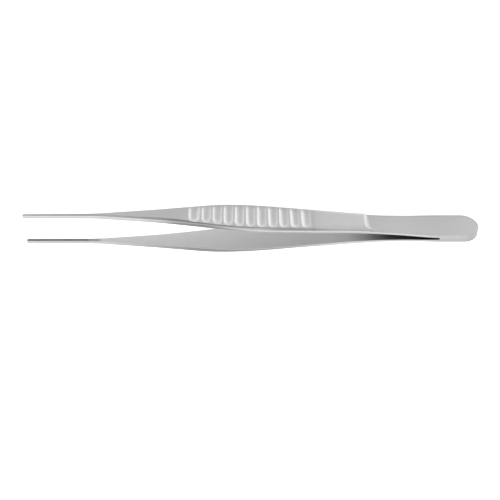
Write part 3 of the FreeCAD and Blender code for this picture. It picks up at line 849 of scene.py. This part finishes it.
def steel_colour(wires, look, grain, mask):
    """The grain's light and dark steel, and over it the flutes' painted sheen, worn edges, the painted
    light and shade of faces and walls, rows and the slit's painted shade.
    """
    dark = (*[c * (1 - GRAIN_CONTRAST) for c in look.colour], 1)
    light = (*[min(1, c * (1 + GRAIN_CONTRAST)) for c in look.colour], 1)
    colour = mixed(wires, spread(wires, grain, 0.0, 1.0), dark, light)
    # The flutes get a painted sheen that grows with their depth
    flute_sheen = wires.math("MINIMUM", wires.math("MAXIMUM", mask["flute"], 0.0), 1.0)
    strip = wires.times(mask["strip"], STRIP_SHARE)
    # Over the grain: the flutes' painted sheen, worn edges, painted light on inner faces, painted shade on
    # grey faces, side walls and slit
    for share, second in ((wires.times(flute_sheen, FLUTE_PAINTED_SHEEN), look.worn_and_sheen_colour),
                          (wires.times(mask["edge"], EDGE_SHINE), look.worn_and_sheen_colour),
                          (wires.times(mask["inner"], INNER_LIGHT_SHARE), look.inner_light_colour),
                          (mask["grey"], look.painted_shade_grey),
                          (mask["darkened"], look.wall_shade_colour),
                          (wires.math("MAXIMUM", mask["crest"], strip), look.tooth_colour),
                          (wires.times(mask["slit"], SLIT_SHADE_SHARE), look.slit_shade_colour)):
        colour = mixed(wires, share, colour, (*second, 1))
    return colour


def steel_material(look):
    """Satin steel with a fine lengthwise grain. The arm's attributes say where it looks different, and
    where light, shade and sheen are painted.
    """
    material = bpy.data.materials.new("satin_steel")
    material.use_nodes = True
    tree = material.node_tree
    wires = Tree(tree)
    shader = tree.nodes["Principled BSDF"]
    place = wires.node("ShaderNodeTexCoord", output=3)
    stretched = wires.node("ShaderNodeMapping", place, None, None, (1 / look.grain_stretch, 1, 1))
    grain = wires.node("ShaderNodeTexNoise", stretched, None, look.grain_scale, *GRAIN_NOISE)
    mask = {name: wires.node("ShaderNodeAttribute", attribute_name=name, output=2) for name in MASKS}
    bump = tree.nodes.new("ShaderNodeBump")
    wires.feed(bump.inputs["Strength"], look.grain_strength)
    wires.feed(bump.inputs["Distance"], look.grain_height)
    wires.feed(bump.inputs["Height"], grain)
    wires.feed(shader.inputs["Normal"], bump.outputs[0])
    wires.feed(shader.inputs["Metallic"], 1.0)
    wires.feed(shader.inputs["Roughness"], steel_roughness(wires, look, place, grain, mask))
    wires.feed(shader.inputs["Base Color"], steel_colour(wires, look, grain, mask))
    return material


def add_arm(context, node, side):
    """Builds one arm in place of its CAD node, on the side of +Y or -Y."""
    scene = context.scene
    shape = ArmShape(scene)
    teeth, flutes = scene.forceps_teeth, scene.forceps_flutes
    arm = blank_arm("satin_" + node, shape, side)
    material = bpy.data.materials.get("satin_steel") or steel_material(scene.forceps_steel)
    press = bpy.data.node_groups.get(FLUTE_TREE) or flute_tree()
    cut = bpy.data.node_groups.get(NOTCH_TREE) or notch_tree()
    middle = scene.forceps_plan.overall_length / 2
    pitch = flutes.pitch * math.cos(math.atan(shape.grip_slope))
    shape_with(arm, press, material, {
        "Side": side, "Count": flutes.count, "Pitch": pitch, "Slope": shape.grip_slope,
        "Depth": flutes.depth, "Radius": flutes.radius, "First Place": flutes.first_place - middle,
        "First Level": shape.grip_level(flutes.first_place), "Run-out": flutes.run_out,
        "Low Run-out": flutes.low_run_out, "Lift": flutes.lift, "Middle": LYING_HEIGHT,
        "Softness": flutes.softness, "Last Shift": flutes.last_shift, "Last Depth": flutes.last_depth,
        "Last Radius": flutes.last_radius})
    shape_with(arm, cut, material, {
        "Side": side, "Pitch": teeth.pitch, "Start": shape.teeth_start - middle, "Depth": teeth.depth})
    finish_arm(arm)
    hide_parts(node)
    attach(arm, "root")


class FORCEPS_OT_double_row_arm(bpy.types.Operator):
    """Add the arm whose jaw has two rows of teeth"""

    bl_idname = "forceps.double_row_arm"
    bl_label = "Double row arm"

    def execute(self, context):
        add_arm(context, "double_row_arm", -1)
        return {"FINISHED"}


class FORCEPS_OT_single_row_arm(bpy.types.Operator):
    """Add the arm whose jaw has one proud row of teeth"""

    bl_idname = "forceps.single_row_arm"
    bl_label = "Single row arm"

    def execute(self, context):
        add_arm(context, "single_row_arm", 1)
        return {"FINISHED"}


# Softboxes: name, place, the point they look at, width and depth, and power in watts
SOFTBOXES = (
    ("overhead_softbox", (0, 0, 0.8), (0, 0, 0), (0.9, 0.9), 1.6),
    ("tail_softbox", (-0.52, -0.43, 0.77), (0, 0, 0.006), (0.42, 0.5), 0.9),
    ("tip_softbox", (0.52, -0.43, 0.77), (0, 0, 0.006), (0.42, 0.5), 0.42),
)

# Sky: a direction, how near to it the brightness starts and stops changing, and its two levels
DARK_PATCH = (0, -0.643, 0.766), (0.80, 0.97), (1.0, 0.5)
SKY_SLOPE = (0, 1, 0), (-0.6, 0.4), (0.46, 0.7)

# Floor: its glow to camera and reflections, its further glow to the camera, and how far it is polished in
# reflections, with the polish's colour and roughness
SEEN_GLOW = 0.37
CAMERA_GLOW = 0.5
POLISH_SHARE = 0.6
POLISH = (0.9, 0.9, 0.9, 1), 0.25

# Camera: its turn about Z and its roll in radians, its lens and sensor width in millimetres, its shift to
# the right and upwards in shares of the picture, and the nearest thing it sees
CAMERA_TURN = 0.0094
CAMERA_ROLL = 0.0079
LENS = 68.9
SENSOR_WIDTH = 36
SHIFT = -0.003, -0.0428
NEAREST_SEEN = 0.01


def add_lamp(name, place, target, size, power):
    """A soft rectangular lamp that looks at a target."""
    lamp = bpy.data.lights.new(name, "AREA")
    lamp.shape = "RECTANGLE"
    lamp.size, lamp.size_y = size
    lamp.energy = power
    holder = bpy.data.objects.new(name, lamp)
    holder.location = place
    holder.rotation_euler = (Vector(target) - Vector(place)).to_track_quat("-Z", "Y").to_euler()
    bpy.context.scene.collection.objects.link(holder)


def add_floor(stage):
    """A pale floor that the camera and the steel see white, with the forceps' soft shadow on it."""
    half = stage.floor_size / 2
    mesh = bpy.data.meshes.new("floor")
    corners = [(-half, -half, 0), (half, -half, 0), (half, half, 0), (-half, half, 0)]
    mesh.from_pydata(corners, [], [(0, 1, 2, 3)])
    floor = bpy.data.objects.new("floor", mesh)
    bpy.context.scene.collection.objects.link(floor)
    material = bpy.data.materials.new("pale_floor")
    material.use_nodes = True
    tree = material.node_tree
    wires = Tree(tree)
    shader = tree.nodes["Principled BSDF"]
    shader.inputs["Base Color"].default_value = (*stage.floor_colour, 1)
    shader.inputs["Roughness"].default_value = 0.9
    shader.inputs["Specular IOR Level"].default_value = 0.0
    shader.inputs["Emission Color"].default_value = (1, 1, 1, 1)
    rays = {socket.name: socket for socket in tree.nodes.new("ShaderNodeLightPath").outputs}
    seen = wires.math("MAXIMUM", rays["Is Camera Ray"], rays["Is Glossy Ray"])
    seen = wires.math("MAXIMUM", seen, rays["Is Transmission Ray"])
    glow = wires.plus(wires.times(seen, SEEN_GLOW), wires.times(rays["Is Camera Ray"], CAMERA_GLOW))
    wires.feed(shader.inputs["Emission Strength"], glow)
    polish = wires.node("ShaderNodeBsdfGlossy", *POLISH)
    polished = wires.times(rays["Is Glossy Ray"], POLISH_SHARE)
    blend = wires.node("ShaderNodeMixShader", polished, shader.outputs[0], polish)
    tree.links.new(blend, tree.nodes["Material Output"].inputs[0])
    mesh.materials.append(material)


def set_world(scene):
    """A grey sky that the camera sees white, brighter towards +Y and with a darker patch high over -Y."""
    world = bpy.data.worlds.new("studio")
    world.use_nodes = True
    scene.world = world
    tree = world.node_tree
    wires = Tree(tree)
    back = tree.nodes["Background"]
    back.inputs["Color"].default_value = (1, 1, 1, 1)
    path = tree.nodes.new("ShaderNodeLightPath")
    direction = wires.node("ShaderNodeTexCoord", output=0)

    def brightness(towards, nearness, levels):
        """The sky's brightness: it goes from one level to another as a direction nears a given one."""
        near = wires.node("ShaderNodeVectorMath", direction, towards, output=1, operation="DOT_PRODUCT")
        return wires.node("ShaderNodeMapRange", near, *nearness, *levels)

    sky = wires.times(brightness(*DARK_PATCH), brightness(*SKY_SLOPE))
    wires.feed(back.inputs["Strength"], wires.math("MAXIMUM", path.outputs["Is Camera Ray"], sky))


def set_camera(scene, stage):
    """The camera looks at the forceps from the double row side, turned so that the tips point left."""
    elevation, turn, roll = stage.camera_elevation, CAMERA_TURN, CAMERA_ROLL
    data = bpy.data.cameras.new("camera")
    data.lens = LENS
    data.sensor_width = SENSOR_WIDTH
    data.shift_x, data.shift_y = SHIFT
    data.clip_start = NEAREST_SEEN
    camera = bpy.data.objects.new("camera", data)
    right = Vector((-math.cos(turn), -math.sin(turn), 0))
    back = Vector((math.cos(elevation) * math.sin(turn), -math.cos(elevation) * math.cos(turn),
                   math.sin(elevation)))
    up = back.cross(right)
    rolled = math.cos(roll) * right - math.sin(roll) * up
    upright = math.sin(roll) * right + math.cos(roll) * up
    place = Vector((0, 0, LYING_HEIGHT)) + stage.camera_distance * back
    turned = Matrix((rolled, upright, back)).transposed().to_4x4()
    camera.matrix_world = Matrix.Translation(place) @ turned
    scene.collection.objects.link(camera)
    scene.camera = camera


class FORCEPS_OT_stage(bpy.types.Operator):
    """Set up the floor, the soft lamps and the camera"""

    bl_idname = "forceps.stage"
    bl_label = "Stage"

    def execute(self, context):
        scene = context.scene
        add_floor(scene.forceps_stage)
        set_world(scene)
        for softbox in SOFTBOXES:
            add_lamp(*softbox)
        set_camera(scene, scene.forceps_stage)
        scene.view_settings.view_transform = "Standard"
        return {"FINISHED"}


class FORCEPS_PT_panel(bpy.types.Panel):
    """Buttons for the pieces of the forceps"""

    bl_label = "Thumb forceps"
    bl_idname = "FORCEPS_PT_panel"
    bl_space_type = "VIEW_3D"
    bl_region_type = "UI"
    bl_category = "Forceps"

    def draw(self, context):
        for operator in STEPS:
            self.layout.operator(operator.bl_idname)


STEPS = (FORCEPS_OT_double_row_arm, FORCEPS_OT_single_row_arm, FORCEPS_OT_stage)
GROUPS = {"forceps_plan": ForcepsPlan, "forceps_profile": ForcepsProfile, "forceps_flutes": ForcepsFlutes,
          "forceps_teeth": ForcepsTeeth, "forceps_steel": ForcepsSteel, "forceps_stage": ForcepsStage}


def register():
    """Registers the settings, the operators and the panel."""
    for name, group in GROUPS.items():
        bpy.utils.register_class(group)
        setattr(bpy.types.Scene, name, PointerProperty(type=group))
    for item in (*STEPS, FORCEPS_PT_panel):
        bpy.utils.register_class(item)


def unregister():
    """Takes them away again."""
    for item in (FORCEPS_PT_panel, *reversed(STEPS)):
        bpy.utils.unregister_class(item)
    for name, group in GROUPS.items():
        delattr(bpy.types.Scene, name)
        bpy.utils.unregister_class(group)


def main():
    """Builds the forceps and its stage."""
    register()
    for step in STEPS:
        family, name = step.bl_idname.split(".")
        getattr(getattr(bpy.ops, family), name)()


if __name__ == "__main__":
    main()
